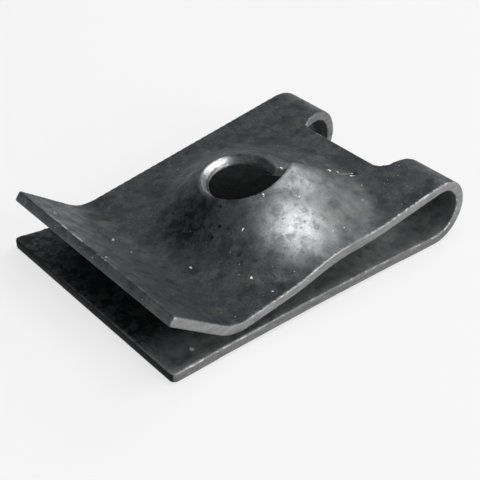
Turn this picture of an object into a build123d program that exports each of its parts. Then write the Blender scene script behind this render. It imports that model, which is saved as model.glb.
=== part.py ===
from build123d import *
from math import atan, cos, degrees, hypot, pi, radians, sin, sqrt, tan
import os

os.makedirs("parts", exist_ok=True)

# U-clip speed nut: one strip of spring steel folded over, with a helical thread pressed up
# in its upper leaf. Millimetres. The origin is on the screw axis, in the plane the clip
# lies on. +X runs to the fold, +Z up.

# Strip
width = 12.7
thickness = 0.55

# Folded shape, seen from the side
mouth_reach = 9.65  # screw axis to the lower leaf's front edge
fold_reach = 9.85  # screw axis to the outside of the fold
fold_radius = 1.91  # outside
leaf_arch = 0.15  # rise of the lower leaf between its two lines of contact
leaf_angle = 9.62  # slope of the upper leaf, falling to the mouth
leaf_run = 13.07  # flat length of the upper leaf, fold to lip bend
lip_bend_radius = 2.0  # inside of the bend
lip_angle = 34.6  # lead-in lip above the horizontal
lip_length = 3.4

# Ear of the lower leaf, where its far edge flares to the mouth
ear_reach = 0.9  # beyond the strip's edge
ear_length = 4.4

# Corners
mouth_corner_radius = 0.3
lip_corner_radius = 0.15

# Window through the fold, flaring to the outside
window_reach = 6.71  # screw axis to the window's inner edge
window_width = 6.0
window_flare = 9.0  # lean of each side, degrees
window_corner_radius = 0.8

# Plain hole in the lower leaf
clearance_radius = 3.2

# Helical thread impression: a cone pressed up round the screw, slit along one radius
thread_radius = 1.92  # where the cone's height is measured
thread_height = 1.66  # above the leaf, at the low end
thread_pitch = 0.8  # rise in one turn
rim_radius = 1.965
rim_shift = -0.2  # of the rim's centre from the screw axis, along the leaf
tip_recess = 0.93  # growth of the rim's radius at its high end
tip_sharpness = 11  # power of that growth
foot_half_length = 4.95  # skirt of the cone, an ellipse on the leaf
foot_half_width = 5.92
foot_shift_x = 0.4
foot_shift_y = -0.97
foot_blend_radius = 2.0
foot_margin = 0.7  # flat metal round the skirt that is formed with it

# Slit
slit_angle = -22.7
slit_reach = 6.1
slit_width = 0.2

station_count = 24  # wall sections in one turn
cut_clearance = 0.2  # overtravel of cuts beyond the metal


arch_angle = 2 * atan(2 * leaf_arch / (mouth_reach + fold_reach - fold_radius))


def lower_line():
    """Underside of the lower leaf, a shallow arch from the mouth to the start of the fold."""
    chord = mouth_reach + fold_reach - fold_radius * (1 + sin(arch_angle))
    arch_radius = chord / (2 * sin(arch_angle))
    rise = (cos(arch_angle), sin(arch_angle))
    return JernArc((-mouth_reach, 0), rise, arch_radius, -2 * degrees(arch_angle))


def side_path():
    """Outer line of the strip from the mouth, round the fold and along the upper leaf to the lip."""
    lower = lower_line()
    fold = JernArc(lower @ 1, lower % 1, fold_radius, 180 + leaf_angle + degrees(arch_angle))
    upper = Line(fold @ 1, fold @ 1 + leaf_run * (fold % 1))
    bend = JernArc(upper @ 1, upper % 1, lip_bend_radius, -(leaf_angle + lip_angle))
    Line(bend @ 1, bend @ 1 + lip_length * (bend % 1))


def leaf_height():
    """Height of the upper leaf's top face on the screw axis."""
    slope = radians(leaf_angle)
    fold_centre_x = fold_reach - fold_radius
    return fold_radius * (1 + 1 / cos(slope)) - fold_centre_x * tan(slope)


slope = radians(leaf_angle)
leaf_plane = Plane(
    origin=(0, 0, leaf_height()),
    x_dir=(cos(slope), 0, sin(slope)),
    z_dir=(-sin(slope), 0, cos(slope)),
)


def direction(turn):
    """Angle in the leaf plane after part of a turn from the slit."""
    return radians(slit_angle) + 2 * pi * turn


def rim_reach(turn):
    """Distance from the screw axis to the rim, a circle that opens out at its high end."""
    radius = rim_radius + tip_recess * turn**tip_sharpness
    along = rim_shift * cos(direction(turn))
    across = rim_shift * sin(direction(turn))
    return along + sqrt(radius**2 - across**2)


def foot_radius(angle):
    """Distance from the screw axis to the skirt's ellipse in a direction of the leaf plane."""
    ray_x, ray_y = cos(angle) / foot_half_length, sin(angle) / foot_half_width
    off_x, off_y = foot_shift_x / foot_half_length, foot_shift_y / foot_half_width
    square = ray_x**2 + ray_y**2
    half = ray_x * off_x + ray_y * off_y
    return (half + sqrt(half**2 - square * (off_x**2 + off_y**2 - 1))) / square


def wall_section(turn):
    """Section of the cone's wall after part of a turn, drawn outwards along X and up along Y."""
    foot = foot_radius(direction(turn))
    lean = atan((thread_height + thread_pitch * turn) / (foot - thread_radius))
    tangent_length = foot_blend_radius * tan(lean / 2)
    inner = rim_reach(turn)
    outer = hypot(foot_half_length, foot_half_width) + abs(foot_shift_y)
    blend_centre = (foot + tangent_length, foot_blend_radius)
    lean_degrees = degrees(lean)
    under = Vector(-sin(lean), -cos(lean)) * thickness
    top_inner = Vector(inner, (foot - inner) * tan(lean))
    with BuildLine() as section:
        outer_top = Line((outer, 0), (foot + tangent_length, 0))
        blend_top = CenterArc(blend_centre, foot_blend_radius, -90, -lean_degrees)
        flank_top = Line(blend_top @ 1, top_inner)
        end = Line(flank_top @ 1, top_inner + under)
        flank_under = Line(end @ 1, blend_top @ 1 + under)
        blend_under = CenterArc(
            blend_centre, foot_blend_radius + thickness, -90 - lean_degrees, lean_degrees
        )
        outer_under = Line(blend_under @ 1, (outer, -thickness))
        Line(outer_under @ 1, outer_top @ 0)
    return section


def half_turn(first):
    """Half a turn of the cone's wall, lofted through its sections."""
    with BuildPart() as half:
        for station in range(first, first + station_count // 2 + 1):
            turn = station / station_count
            angle = direction(turn)
            outwards = leaf_plane.x_dir * cos(angle) + leaf_plane.y_dir * sin(angle)
            plane = Plane(leaf_plane.origin, outwards, outwards.cross(leaf_plane.z_dir))
            with BuildSketch(plane):
                add(wall_section(turn).line)
                make_face()
        loft()
    return half.part


low_half = half_turn(0)
high_half = half_turn(station_count // 2)

# Cone of the thread impression, trimmed to its skirt
with BuildPart() as cone:
    add(low_half)
    add(high_half)
    with BuildSketch(leaf_plane.offset(-2 * thickness)):
        with Locations((foot_shift_x, foot_shift_y)):
            Ellipse(foot_half_length + foot_margin, foot_half_width + foot_margin)
        Rectangle(4 * width, width, mode=Mode.INTERSECT)
    extrude(amount=2 * width, mode=Mode.INTERSECT)


# Ear at the far corner of the mouth
with BuildPart() as ear:
    with BuildSketch(Plane.XZ.offset(-width / 2)):
        with BuildLine():
            lower_line()
            offset(amount=thickness, side=Side.LEFT)
        make_face()
    extrude(amount=-ear_reach - cut_clearance)
    ear_root = (ear_length - mouth_reach, width / 2)
    tip_x = -mouth_reach - cut_clearance
    tip_y = width / 2 + ear_reach * (1 + cut_clearance / ear_length)
    with BuildSketch(Plane.XY.offset(-cut_clearance)):
        with BuildLine():
            Polyline(ear_root, (tip_x, tip_y), (tip_x, width / 2), close=True)
        make_face()
    extrude(amount=width, mode=Mode.INTERSECT)

# Folded strip, with the ear on its lower leaf and the cone let into its upper leaf
with BuildPart() as clip:
    with BuildSketch(Plane.XZ):
        with BuildLine():
            side_path()
            offset(amount=thickness, side=Side.LEFT)
        make_face()
    extrude(amount=width / 2, both=True)
    add(ear.part)

    end_faces = faces().sort_by(Axis.X)[:2].sort_by(Axis.Z)
    mouth_corners = end_faces[0].edges().filter_by(Axis.Y, reverse=True)
    lip_corners = end_faces[1].edges().filter_by(Axis.Y, reverse=True)
    fillet(mouth_corners, mouth_corner_radius)
    fillet(lip_corners, lip_corner_radius)

    with BuildSketch(Plane.XY.offset(-cut_clearance)):
        Circle(clearance_radius)
    extrude(amount=leaf_arch + thickness + 2 * cut_clearance, mode=Mode.SUBTRACT)

    with BuildSketch(leaf_plane.offset(-thickness - cut_clearance)):
        with Locations((foot_shift_x, foot_shift_y)):
            Ellipse(foot_half_length + foot_margin, foot_half_width + foot_margin)
    extrude(amount=width, mode=Mode.SUBTRACT)
    add(cone.part)

    window_depth = fold_reach - window_reach + cut_clearance
    side_start = (window_reach, window_width / 2)
    side_end = (window_reach + window_depth, window_width / 2 + window_depth * tan(radians(window_flare)))
    with BuildSketch(Plane.XY.offset(-cut_clearance)):
        with BuildLine():
            Polyline((window_reach, 0), side_start, side_end, (side_end[0], 0))
            mirror(about=Plane.XZ)
        make_face()
        fillet(vertices().group_by(Axis.X)[0], window_corner_radius)
    extrude(amount=width, mode=Mode.SUBTRACT)

    with BuildSketch(leaf_plane.offset(-thickness - cut_clearance)):
        with Locations(Location((0, 0), slit_angle)):
            Rectangle(slit_reach, slit_width, align=(Align.MIN, Align.CENTER))
    extrude(amount=width, mode=Mode.SUBTRACT)

clip.part.label = "clip"
export_step(clip.part, "parts/clip.step")
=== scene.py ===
"""Looks of the U-clip speed nut: dark phosphated spring steel, with its sheared faces bare.

Lengths named here are in mm unless they say otherwise. The lamps and the camera are in metres.
"""

import math

import bmesh
import bpy
import numpy as np
from mathutils import Matrix, Vector


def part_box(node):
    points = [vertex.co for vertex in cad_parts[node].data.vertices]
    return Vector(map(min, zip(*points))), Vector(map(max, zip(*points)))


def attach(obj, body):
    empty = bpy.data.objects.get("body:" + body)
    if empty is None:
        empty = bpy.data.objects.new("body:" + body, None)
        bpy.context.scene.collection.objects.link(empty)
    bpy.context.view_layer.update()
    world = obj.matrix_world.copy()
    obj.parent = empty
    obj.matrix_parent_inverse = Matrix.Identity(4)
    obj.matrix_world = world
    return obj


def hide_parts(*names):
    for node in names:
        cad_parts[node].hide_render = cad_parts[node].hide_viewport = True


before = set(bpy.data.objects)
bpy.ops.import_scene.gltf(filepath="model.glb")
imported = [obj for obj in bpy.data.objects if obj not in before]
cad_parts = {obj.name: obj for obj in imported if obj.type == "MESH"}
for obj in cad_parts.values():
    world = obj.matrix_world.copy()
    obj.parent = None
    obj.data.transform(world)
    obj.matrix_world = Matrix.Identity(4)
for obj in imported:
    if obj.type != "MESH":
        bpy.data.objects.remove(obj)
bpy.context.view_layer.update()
floor_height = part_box("clip")[0][2]

MM = 0.001


# ---------------------------------------------------------------- node trees as short calls

def is_socket(value):
    return isinstance(value, bpy.types.NodeSocket)


def grey(level):
    return (level, level, level)


class Tree:
    """The node tree of a material or a world."""

    def __init__(self, owner):
        owner.use_nodes = True
        self.tree = owner.node_tree
        self.tree.nodes.clear()

    def feed(self, made, values):
        """Link each socket, and set each number or colour on the shader's own input."""
        for name, value in values.items():
            if is_socket(value):
                self.tree.links.new(value, made.inputs[name])
            else:
                made.inputs[name].default_value = value
        return made

    def node(self, kind, values=None, **settings):
        made = self.tree.nodes.new(kind)
        for name, value in settings.items():
            setattr(made, name, value)
        return self.feed(made, values or {})

    def noise(self, place, scale, detail, rough):
        values = {"Vector": place, "Scale": scale, "Detail": detail, "Roughness": rough}
        return self.node("ShaderNodeTexNoise", values).outputs["Fac"]

    def voronoi(self, place, scale):
        return self.node("ShaderNodeTexVoronoi", {"Vector": place, "Scale": scale}, feature="F1").outputs

    def ramp(self, fac, *stops):
        """Each stop is a position and the value there."""
        made = self.node("ShaderNodeValToRGB", {"Fac": fac})
        for element, (position, value) in zip(made.color_ramp.elements, stops):
            element.position = position
            element.color = (*grey(value), 1)
        return made.outputs["Color"]

    def math(self, operation, *inputs, clamp=False):
        made = self.node("ShaderNodeMath", operation=operation, use_clamp=clamp)
        return self.feed(made, dict(enumerate(inputs))).outputs[0]

    def times(self, a, b):
        return self.math("MULTIPLY", a, b)

    def vector(self, operation, a, b):
        return self.node("ShaderNodeVectorMath", {0: a, 1: b}, operation=operation).outputs

    def mix(self, fac, a, b, blend="MIX"):
        """Colour b laid over colour a."""
        made = self.node("ShaderNodeMix", data_type="RGBA", blend_type=blend, clamp_factor=True)
        colours = {index: value if is_socket(value) else (*value, 1) for index, value in ((6, a), (7, b))}
        return self.feed(made, {0: fac, **colours}).outputs[2]


# ---------------------------------------------------------------- the clip, with its edges rolled

VOXEL = 0.075
SMOOTHING = 0.5
SMOOTHING_STEPS = 3
TRIANGLES = 190000
SAME_POINT = 1e-4


def as_modified(piece):
    """The piece's mesh with its modifiers applied."""
    graph = bpy.context.evaluated_depsgraph_get()
    made = bpy.data.meshes.new_from_object(piece.evaluated_get(graph))
    piece.modifiers.clear()
    piece.data = made
    return made


work = bmesh.new()
work.from_mesh(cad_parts["clip"].data)
bmesh.ops.scale(work, vec=(1 / MM, 1 / MM, 1 / MM), verts=work.verts)
bmesh.ops.remove_doubles(work, verts=work.verts, dist=SAME_POINT)
sharp = bpy.data.meshes.new("clip_sharp")
work.to_mesh(sharp)
work.free()
clip = bpy.data.objects.new("clip_surface", sharp)
bpy.context.scene.collection.objects.link(clip)

remesh = clip.modifiers.new("remesh", "REMESH")
remesh.mode = "VOXEL"
remesh.voxel_size = VOXEL
remesh.adaptivity = 0
smooth = clip.modifiers.new("smooth", "SMOOTH")
smooth.factor = SMOOTHING
smooth.iterations = SMOOTHING_STEPS
rolled = as_modified(clip)
thin_out = clip.modifiers.new("thin_out", "DECIMATE")
thin_out.ratio = min(1.0, TRIANGLES / sum(len(face.vertices) - 2 for face in rolled.polygons))
surface = as_modified(clip)
surface.name = "clip_surface"
surface.transform(Matrix.Scale(MM, 4))
surface.shade_smooth()


# ---------------------------------------------------------------- where each finish lies

# The clip's shape, as in the CAD
HALF_WIDTH = 6.35
MOUTH_REACH = 9.65  # screw axis to the lower leaf's front edge
WINDOW_REACH = 6.75  # screw axis to the window's inner edge
LEAF_SLOPE = math.radians(9.62)
LEAF_HEIGHT = 2.50  # top of the upper leaf on the screw axis
LIP_ANGLE = math.radians(34.6)
RIM_RADIUS = 1.965
RIM_SHIFT = -0.2  # of the rim's centre from the screw axis, along the leaf
RIM_FLOOR = 0.8  # the thread's rim lies higher than this above the leaf

# Heights that part the lower leaf from the upper one, at its sides and on its top
BETWEEN_SIDES = 0.8
BETWEEN_TOPS = 1.0

CREST_BIN = 5  # degrees
START_ANGLE = -30  # degrees


def vectors(name):
    """One row for each point of the surface."""
    values = np.empty(len(surface.vertices) * 3)
    surface.vertices.foreach_get(name, values)
    return values.reshape(-1, 3)


def step(value, start, end):
    """0 up to start, 1 from end, with a smooth rise."""
    part = np.clip((value - start) / (end - start), 0, 1)
    return part * part * (3 - 2 * part)


def fall(value, start, end):
    """1 up to start, 0 from end."""
    return 1 - step(value, start, end)


def paint(name, values):
    layer = surface.attributes.new(name, "FLOAT", "POINT")
    layer.data.foreach_set("value", values.astype(np.float32))


points = vectors("co") / MM
normals = vectors("normal")
x, y, z = points.T
facing_x, facing_y, facing_z = normals.T
across = np.abs(y)

# In what follows, the two numbers of each step and fall are where it starts and ends. They are in mm for a
# place, in degrees for an angle, and a share of the normal for the way that the surface faces.

# Polar place round the thread's rim, seen square to the upper leaf. Angles run on from START_ANGLE.
leaf_along = np.array((math.cos(LEAF_SLOPE), 0, math.sin(LEAF_SLOPE)))
leaf_up = np.array((-math.sin(LEAF_SLOPE), 0, math.cos(LEAF_SLOPE)))
from_axis = points - (0, 0, LEAF_HEIGHT)
along_leaf = from_axis @ leaf_along - RIM_SHIFT
above_leaf = from_axis @ leaf_up
reach = np.hypot(along_leaf, y)
angle = np.degrees(np.arctan2(y, along_leaf))
angle = np.where(angle < START_ANGLE, angle + 360, angle)

# Sheared faces: the strip's sides, the lip's end a little, the window's inner face and the two holes. The
# thread hole's wall shows bare steel mostly on its far side, as painted highlight where the lamps light it
sides = step(np.abs(facing_y), 0.55, 0.85)
lip_end = 0.20 * step(-facing_x, 0.70, 0.90) * (x < -8.0) * (z > 1.5)
window = step(facing_x, 0.70, 0.90) * (x > WINDOW_REACH - 0.35) * (x < WINDOW_REACH + 0.65)
# The thread hole's far side, weighted for a painted highlight on its lit wall
far_side = step(angle, 55, 80) * fall(angle, 165, 200)
upright = fall(np.abs(normals @ leaf_up), 0.35, 0.60)
thread_hole = upright * (reach < 3.2) * (above_leaf > 0.3) * (0.15 + 0.85 * far_side)
plain_hole = fall(np.abs(facing_z), 0.1, 0.4) * (z < BETWEEN_SIDES) * (np.abs(x) < 3.5) * (across < 3.5)
paint("sheared_and_wall_highlight", np.clip(np.maximum.reduce([sides, lip_end, window, thread_hole, plain_hole]), 0, 1))
paint("upper", step(z, BETWEEN_SIDES, BETWEEN_SIDES + 0.6) * (across > 5.0))

# Edges painted bright, partly wear and partly painted glints where the rolled edges catch the light: along
# the sides, most near the fold, and along the window
turning_y = step(np.abs(facing_y), 0.25, 0.55) * fall(np.abs(facing_y), 0.85, 0.97)
turning_x = step(facing_x, 0.25, 0.55) * fall(facing_x, 0.85, 0.97)
side_edges = turning_y * step(across, HALF_WIDTH - 0.17, HALF_WIDTH - 0.09)
upper_wear_glint = 0.15 + 0.85 * step(x, 1.5, 4.0)
lower_wear_glint = 0.55 + 0.45 * step(x, 5.5, 7.0)
side_edges *= np.where(z > BETWEEN_SIDES, upper_wear_glint, lower_wear_glint)
window_edges = turning_x * (np.abs(x - WINDOW_REACH) < 0.35) * (across < 3.6)
paint("edges", np.maximum(side_edges, window_edges))

# A stretch of the lip's top border, painted bright: a painted glint, partly wear
towards_lip = points @ (-math.cos(LIP_ANGLE), 0, math.sin(LIP_ANGLE))
lip_tip = towards_lip.max()
lip_top = step(normals @ (math.sin(LIP_ANGLE), 0, math.cos(LIP_ANGLE)), 0.45, 0.75)
lip_border = lip_top * step(towards_lip, lip_tip - 0.26, lip_tip - 0.08)
paint("lip_edge", lip_border * step(y, -0.5, 1.0) * fall(y, 3.0, 4.0))

# Lower leaf: painted shade under the upper leaf near the mouth, on its front face, and between the leaves
# further in;
# painted light along its near side and on the fold's inner wall, where light reaches into the gap.
lower_top = step(facing_z, 0.4, 0.7) * (z < BETWEEN_TOPS)
paint("shade_under_lip", lower_top * fall(x, -6.0, -3.0) * step(y, -6.0, -4.0))
paint("mouth", step(-facing_x, 0.1, 0.4) * (x < 0.35 - MOUTH_REACH) * (z < BETWEEN_TOPS))
paint("inside", lower_top * step(y, -5.6, -3.6) * step(x, -7.0, -3.0))
fold_inside = step(-facing_x, 0.2, 0.5) * (x > 7.6) * (z > 0.5) * (z < 3.5)
paint("gap_light", np.maximum(lower_top * fall(y, -5.2, -3.2), 0.7 * fold_inside))

# Painted highlight on the far part of the thread's rim, where its rounded crest faces the lamps, with an
# unpainted dark line about 0.3 below its crest
rim_bin = ((angle - START_ANGLE) // CREST_BIN).astype(int)
at_rim = reach < RIM_RADIUS + 0.15
crest = np.zeros(360 // CREST_BIN + 1)
np.maximum.at(crest, rim_bin[at_rim], above_leaf[at_rim] * (above_leaf[at_rim] > RIM_FLOOR))
depth = crest[rim_bin] - above_leaf
rim = fall(reach, RIM_RADIUS + 0.04, RIM_RADIUS + 0.22) * (above_leaf > RIM_FLOOR)
rim_line = fall(depth, 0.20, 0.26) + 0.8 * step(depth, 0.30, 0.38)
rim_part = step(angle, 62, 88) * (1 - 0.82 * step(angle, 108, 132)) * fall(angle, 160, 190)
paint("rim_highlight", rim * rim_part * rim_line)


# ---------------------------------------------------------------- material

# Colours, linear
COAT = ((0.032, 0.036, 0.040), (0.047, 0.051, 0.054))
COAT_PALE = (0.067, 0.073, 0.076)
COAT_PATCH = (0.018, 0.019, 0.023)
COAT_GRAIN = (0.020, 0.022, 0.027)
COAT_DUST = grey(0.14)
OLIVE_TINT = (1.04, 1.05, 0.95)
SHADED_FLANK_TONE = (0.010, 0.012, 0.013)
SHADED_FLANK_FLECK = (0.003, 0.003, 0.004)
OIL_PIT = (0.004, 0.004, 0.006)
SHADE_INSIDE_TONE = (0.015, 0.017, 0.020)
UNDER_LIP_SHADE_TONE = (0.013, 0.013, 0.015)
MOUTH = (0.013, 0.013, 0.014)
GAP_LIGHT_TONE = (0.186, 0.195, 0.195)
BARE = (grey(0.128), grey(0.218))
THIN_COAT_SHEEN = grey(0.154)
RUBBED_HIGHLIGHT_TONE = (0.32, 0.325, 0.33)
WORN_EDGE_GLINT = grey(0.50)
RIM_HIGHLIGHT_TONE = grey(0.72)
NICK_AND_GLINT_TONE = (0.72, 0.72, 0.71)
SPECK = (0.82, 0.82, 0.81)

# Places on the clip: centre and radius
# Painted shade on the cone's flank turned from the lamps
SHADED_FLANK = ((-3.4, 0.6, 3.0), 3.2)
PITTED = ((-2.6, -1.5, 3.0), 4.5)
# Painted sheen and painted highlight on the cone's near flank, where the lamps' highlight falls; partly
# rubbed coat
SHEEN_PATCH = ((1.2, -3.9, 3.6), 4.8)
FLANK_HIGHLIGHT_SPOT = ((-0.5, -4.3, 3.6), 2.5)
CREST_HIGHLIGHT_SPOT = ((1.1, -2.4, 4.6), 2.4)

# Bright spots: the first four, at the slit's edges and the thread's tip, are painted glints; the rest, on
# the lip and the leaves, are nicks where bare steel shows bright through the coat
NICKS_AND_GLINTS = (
    ((5.3, -2.3, 3.45), 0.26), ((4.4, -1.5, 3.6), 0.13), ((4.8, -1.7, 3.5), 0.10),
    ((1.7, -0.7, 4.3), 0.16), ((-7.9, -5.5, 0.6), 0.15), ((-7.0, 2.0, 2.1), 0.12),
    ((-6.8, 2.2, 2.0), 0.11), ((-6.1, 2.4, 1.6), 0.10), ((-9.2, -0.7, 3.6), 0.13),
    ((-2.5, -2.6, 3.4), 0.10), ((-3.5, -4.5, 2.0), 0.09), ((-0.9, -2.2, 4.5), 0.09),
    ((-6.6, 1.0, 1.9), 0.10), ((-3.3, -5.8, 1.9), 0.12), ((-8.9, 4.1, 3.4), 0.12),
    ((-5.0, -1.7, 1.7), 0.09),
)
OUTLINE_WAVER = 0.45
OUTLINE_WAVES = 5.0  # to the mm
STREAK_STRETCH = (1.1, 1.1, 4.2)
RELIEF = 0.00004  # metres
RELIEF_STRENGTH = 0.8
SPECULAR = 0.02

steel = bpy.data.materials.new("phosphated_steel")
t = Tree(steel)
mm = t.vector("MULTIPLY", t.node("ShaderNodeTexCoord").outputs["Object"], (1 / MM, 1 / MM, 1 / MM))[0]


def painted(name):
    return t.node("ShaderNodeAttribute", attribute_name=name).outputs["Fac"]


def noise(scale, detail, rough, *stops):
    """Noise with so many cells to the mm, and its ramp where there are stops."""
    made = t.noise(mm, scale, detail, rough)
    return t.ramp(made, *stops) if stops else made


def spot(place, where=mm):
    """1 at a place on the clip, falling to 0 at its radius."""
    centre, radius = place
    away = t.vector("DISTANCE", where, centre)["Value"]
    values = {"Value": away, "From Min": radius, "From Max": 0.0}
    return t.node("ShaderNodeMapRange", values, interpolation_type="SMOOTHSTEP").outputs[0]


# Phosphate coat: near black, with greenish, bluish and paler clouds
mottle = noise(1.6, 5.0, 0.62)
grain = noise(9.0, 4.0, 0.65)
tone = t.mix(noise(0.35, 3.0, 0.55, (0.38, 0), (0.62, 1)), *COAT)
tone = t.mix(t.ramp(mottle, (0.44, 0), (0.62, 0.9)), tone, COAT_PALE)
tone = t.mix(noise(1.1, 2.0, 0.5, (0.30, 0.85), (0.46, 0)), tone, COAT_PATCH)
tone = t.mix(t.ramp(grain, (0.34, 0.7), (0.48, 0)), tone, COAT_GRAIN)
tone = t.mix(noise(34.0, 2.0, 0.5, (0.58, 0), (0.74, 0.35)), tone, COAT_DUST)

# Old oil tints the coat olive here and there
olive = t.mix(1.0, tone, OLIVE_TINT, "MULTIPLY")
tone = t.mix(noise(0.8, 3.0, 0.6, (0.50, 0), (0.62, 0.8)), tone, olive)

# Painted shade on the mouth side of the cone, where its flank is turned from the lamps, broken up into
# dark flecks; pits in the coat nearby
shaded_flank = spot(SHADED_FLANK)
tone = t.mix(t.times(shaded_flank, 0.75), tone, SHADED_FLANK_TONE)
tone = t.mix(t.times(shaded_flank, noise(2.6, 4.0, 0.7, (0.44, 1), (0.53, 0))), tone, SHADED_FLANK_FLECK)
pits = t.ramp(t.voronoi(mm, 1.7)["Distance"], (0.10, 1), (0.20, 0))
tone = t.mix(t.times(spot(PITTED), pits), tone, OIL_PIT)

# Painted shade between the leaves, under the upper leaf near the mouth, and on the lower leaf's front face
inside = painted("inside")
tone = t.mix(t.times(inside, 0.6), tone, SHADE_INSIDE_TONE)
# Painted shade under the upper leaf near the mouth, in blotches
tone = t.mix(t.times(painted("shade_under_lip"), noise(1.9, 4.0, 0.7, (0.46, 0), (0.54, 1))), tone, UNDER_LIP_SHADE_TONE)
# Painted shade on the lower leaf's front face, turned from the lamps
mouth = painted("mouth")
tone = t.mix(t.times(mouth, 0.85), tone, MOUTH)

# Painted light along the lower leaf's near side and on the fold's inner wall, where light reaches into the
# gap between the leaves
tone = t.mix(t.times(painted("gap_light"), noise(1.5, 4.0, 0.6, (0.34, 0.4), (0.56, 1))), tone, GAP_LIGHT_TONE)

# Sheared faces: bare steel with streaks across the sheet, paler on the upper leaf; on the thread hole's
# wall, mostly its far side, this is painted highlight
sheared_and_wall_highlight = painted("sheared_and_wall_highlight")
stretched = t.node("ShaderNodeMapping", {"Vector": mm, "Scale": STREAK_STRETCH}).outputs[0]
bare = t.mix(t.ramp(t.noise(stretched, 1.0, 5.0, 0.70), (0.36, 0), (0.66, 1)), *BARE)
bare = t.mix(painted("upper"), bare, grey(1.5), "MULTIPLY")
tone = t.mix(sheared_and_wall_highlight, tone, bare)

# Painted sheen round the highlight on the cone's near flank, partly coat rubbed thin, with ragged borders
tone = t.mix(t.times(spot(SHEEN_PATCH), noise(1.3, 4.0, 0.6, (0.30, 0.3), (0.60, 1))), tone, THIN_COAT_SHEEN)
# Painted highlight where the lamps' highlight falls on the near flank and towards the thread's tip, partly
# coat rubbed through to more metallic steel, with ragged borders and pits
rubbed_and_highlight = t.math("MAXIMUM", spot(FLANK_HIGHLIGHT_SPOT), t.times(spot(CREST_HIGHLIGHT_SPOT), 0.6))
rubbed_and_highlight = t.times(rubbed_and_highlight, noise(1.7, 4.0, 0.6, (0.36, 0.45), (0.52, 1)))
rubbed_and_highlight = t.times(rubbed_and_highlight, noise(4.2, 3.0, 0.6, (0.34, 0.45), (0.43, 1)))
tone = t.mix(rubbed_and_highlight, tone, RUBBED_HIGHLIGHT_TONE)

# Worn edges with painted glints, broken along their length
edge = t.times(painted("edges"), noise(2.4, 4.0, 0.7, (0.51, 0.05), (0.58, 1)))
edge = t.times(edge, t.math("SUBTRACT", 1.0, mouth))
lip_edge = t.times(painted("lip_edge"), noise(2.2, 4.0, 0.7, (0.48, 0), (0.58, 0.7)))
tone = t.mix(t.math("MAXIMUM", edge, lip_edge), tone, WORN_EDGE_GLINT)
# Painted highlight on the far part of the thread's rim
tone = t.mix(t.times(painted("rim_highlight"), noise(5.0, 3.0, 0.6, (0.36, 0.35), (0.45, 1))), tone, RIM_HIGHLIGHT_TONE)

# Nicks and painted glints, with a ragged outline
waver = t.node("ShaderNodeTexNoise", {"Vector": mm, "Scale": OUTLINE_WAVES, "Detail": 3.0}).outputs["Color"]
waver = t.vector("SUBTRACT", waver, grey(0.5))[0]
waver = t.vector("MULTIPLY", waver, grey(OUTLINE_WAVER))[0]
ragged = t.vector("ADD", mm, waver)[0]
nicks_and_glints = 0.0
for bright_spot in NICKS_AND_GLINTS:
    nicks_and_glints = t.math("MAXIMUM", nicks_and_glints, spot(bright_spot, ragged))
tone = t.mix(t.ramp(nicks_and_glints, (0.15, 0), (0.45, 1)), tone, NICK_AND_GLINT_TONE)

# White specks of dust and chipped coat, in about a quarter of the cells and faint in some
speck = t.voronoi(mm, 3.2)
chance = t.node("ShaderNodeSeparateColor", {"Color": speck["Color"]}).outputs["Red"]
dot = t.ramp(speck["Distance"], (0.0, 1), (0.12, 0))
tone = t.mix(t.times(dot, t.ramp(chance, (0.76, 0), (0.98, 1))), tone, SPECK)

rough = t.ramp(mottle, (0.38, 0.50), (0.62, 0.33))
relief = t.math("ADD", t.times(grain, 0.45), t.times(mottle, 0.55))
bump = t.node("ShaderNodeBump", {"Height": relief, "Strength": RELIEF_STRENGTH, "Distance": RELIEF})
metal = t.math("MULTIPLY_ADD", t.math("MAXIMUM", sheared_and_wall_highlight, rubbed_and_highlight), 0.58, 0.32)
metal = t.math("MULTIPLY_ADD", t.math("MAXIMUM", inside, mouth), -0.27, metal, clamp=True)
shader = t.node("ShaderNodeBsdfPrincipled", {
    "Base Color": tone, "Roughness": rough, "Normal": bump.outputs["Normal"], "Metallic": metal,
    "Specular IOR Level": SPECULAR})
t.node("ShaderNodeOutputMaterial", {"Surface": shader.outputs["BSDF"]})
surface.materials.clear()
surface.materials.append(steel)

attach(clip, "root")
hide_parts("clip")


# ---------------------------------------------------------------- floor, backdrop and lights

FLOOR_SIZE = 2.0  # metres
FLOOR_GAP = 0.00002  # below the clip, metres
FLOOR_COLOUR = (0.80, 0.80, 0.80, 1)
FLOOR_SHOWN_WHITE = 0.7  # share of plain white in what the camera sees; the rest holds the shadow
WHITE = (1, 1, 1, 1)
SKY_LIGHT = 0.055
SKY_SHOWN = 1.0

# Name, place and side of the square in metres, and watts
LAMPS = (
    ("top", (0.000, 0.000, 0.300), 0.16, 0.31),
    ("key", (0.135, -0.060, 0.261), 0.10, 0.226),
    ("window", (0.240, 0.075, 0.165), 0.12, 0.195),
    ("near", (0.061, -0.273, 0.106), 0.16, 0.507),
    ("mouth", (-0.255, -0.060, 0.120), 0.16, 0.11),
)
LAMP_TARGET = Vector((0, 0, 0.002))


def seen(tree):
    """1 for rays from the camera, and for those that a glossy or clear surface sends on."""
    ray = tree.node("ShaderNodeLightPath").outputs
    sent_on = tree.math("MAXIMUM", ray["Is Glossy Ray"], ray["Is Transmission Ray"])
    return tree.math("MAXIMUM", ray["Is Camera Ray"], sent_on)


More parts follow.
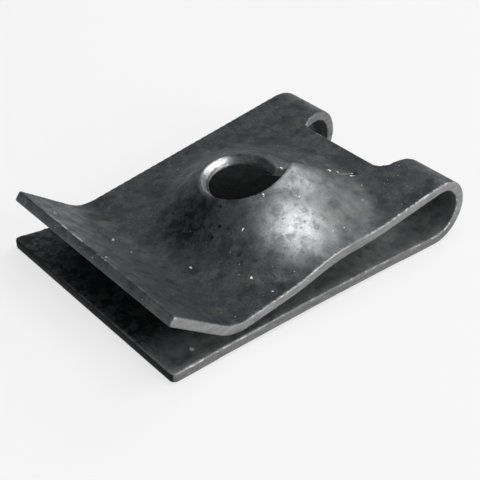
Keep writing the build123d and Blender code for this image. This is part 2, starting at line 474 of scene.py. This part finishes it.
# Matt paper that shows white and keeps the shadow
paper = bpy.data.materials.new("paper")
p = Tree(paper)
matt = p.node("ShaderNodeBsdfDiffuse", {"Color": FLOOR_COLOUR}).outputs[0]
plain_white = p.node("ShaderNodeEmission", {"Color": WHITE, "Strength": 1.0}).outputs[0]
shown = p.node("ShaderNodeMixShader", {0: p.times(seen(p), FLOOR_SHOWN_WHITE), 1: matt, 2: plain_white})
p.node("ShaderNodeOutputMaterial", {"Surface": shown.outputs[0]})

bpy.ops.mesh.primitive_plane_add(size=FLOOR_SIZE, location=(0, 0, floor_height - FLOOR_GAP))
floor = bpy.context.object
floor.name = "floor"
floor.data.materials.append(paper)

for name, place, side, watts in LAMPS:
    data = bpy.data.lights.new(name, "AREA")
    data.shape = "SQUARE"
    data.size = side
    data.energy = watts
    lamp = bpy.data.objects.new(name, data)
    lamp.location = place
    lamp.rotation_euler = (LAMP_TARGET - Vector(place)).to_track_quat("-Z", "Y").to_euler()
    bpy.context.scene.collection.objects.link(lamp)

world = bpy.data.worlds.new("studio")
bpy.context.scene.world = world
w = Tree(world)
light = w.node("ShaderNodeBackground", {"Color": WHITE, "Strength": SKY_LIGHT}).outputs[0]
backdrop = w.node("ShaderNodeBackground", {"Color": WHITE, "Strength": SKY_SHOWN}).outputs[0]
sky = w.node("ShaderNodeMixShader", {0: seen(w), 1: light, 2: backdrop}).outputs[0]
w.node("ShaderNodeOutputWorld", {"Surface": sky})


# ---------------------------------------------------------------- camera

CAMERA_PLACE = (-0.030866, -0.034201, 0.032336)  # metres
CAMERA_TURN = -41.75  # degrees, about the vertical
CAMERA_DOWN = 34.88  # degrees below the level
CAMERA_ROLL = 2.15  # degrees
SENSOR = 36
LENS = 79.67
NEAREST = 0.001  # metres

view = bpy.data.cameras.new("camera")
view.sensor_width = SENSOR
view.lens = LENS
view.clip_start = NEAREST
camera = bpy.data.objects.new("camera", view)
bpy.context.scene.collection.objects.link(camera)
turn = Matrix.Rotation(math.radians(CAMERA_TURN), 4, "Z")
tilt = Matrix.Rotation(math.radians(90 - CAMERA_DOWN), 4, "X")
roll = Matrix.Rotation(math.radians(CAMERA_ROLL), 4, "Z")
camera.matrix_world = Matrix.Translation(CAMERA_PLACE) @ turn @ tilt @ roll
bpy.context.scene.camera = camera
bpy.context.scene.view_settings.view_transform = "Standard"
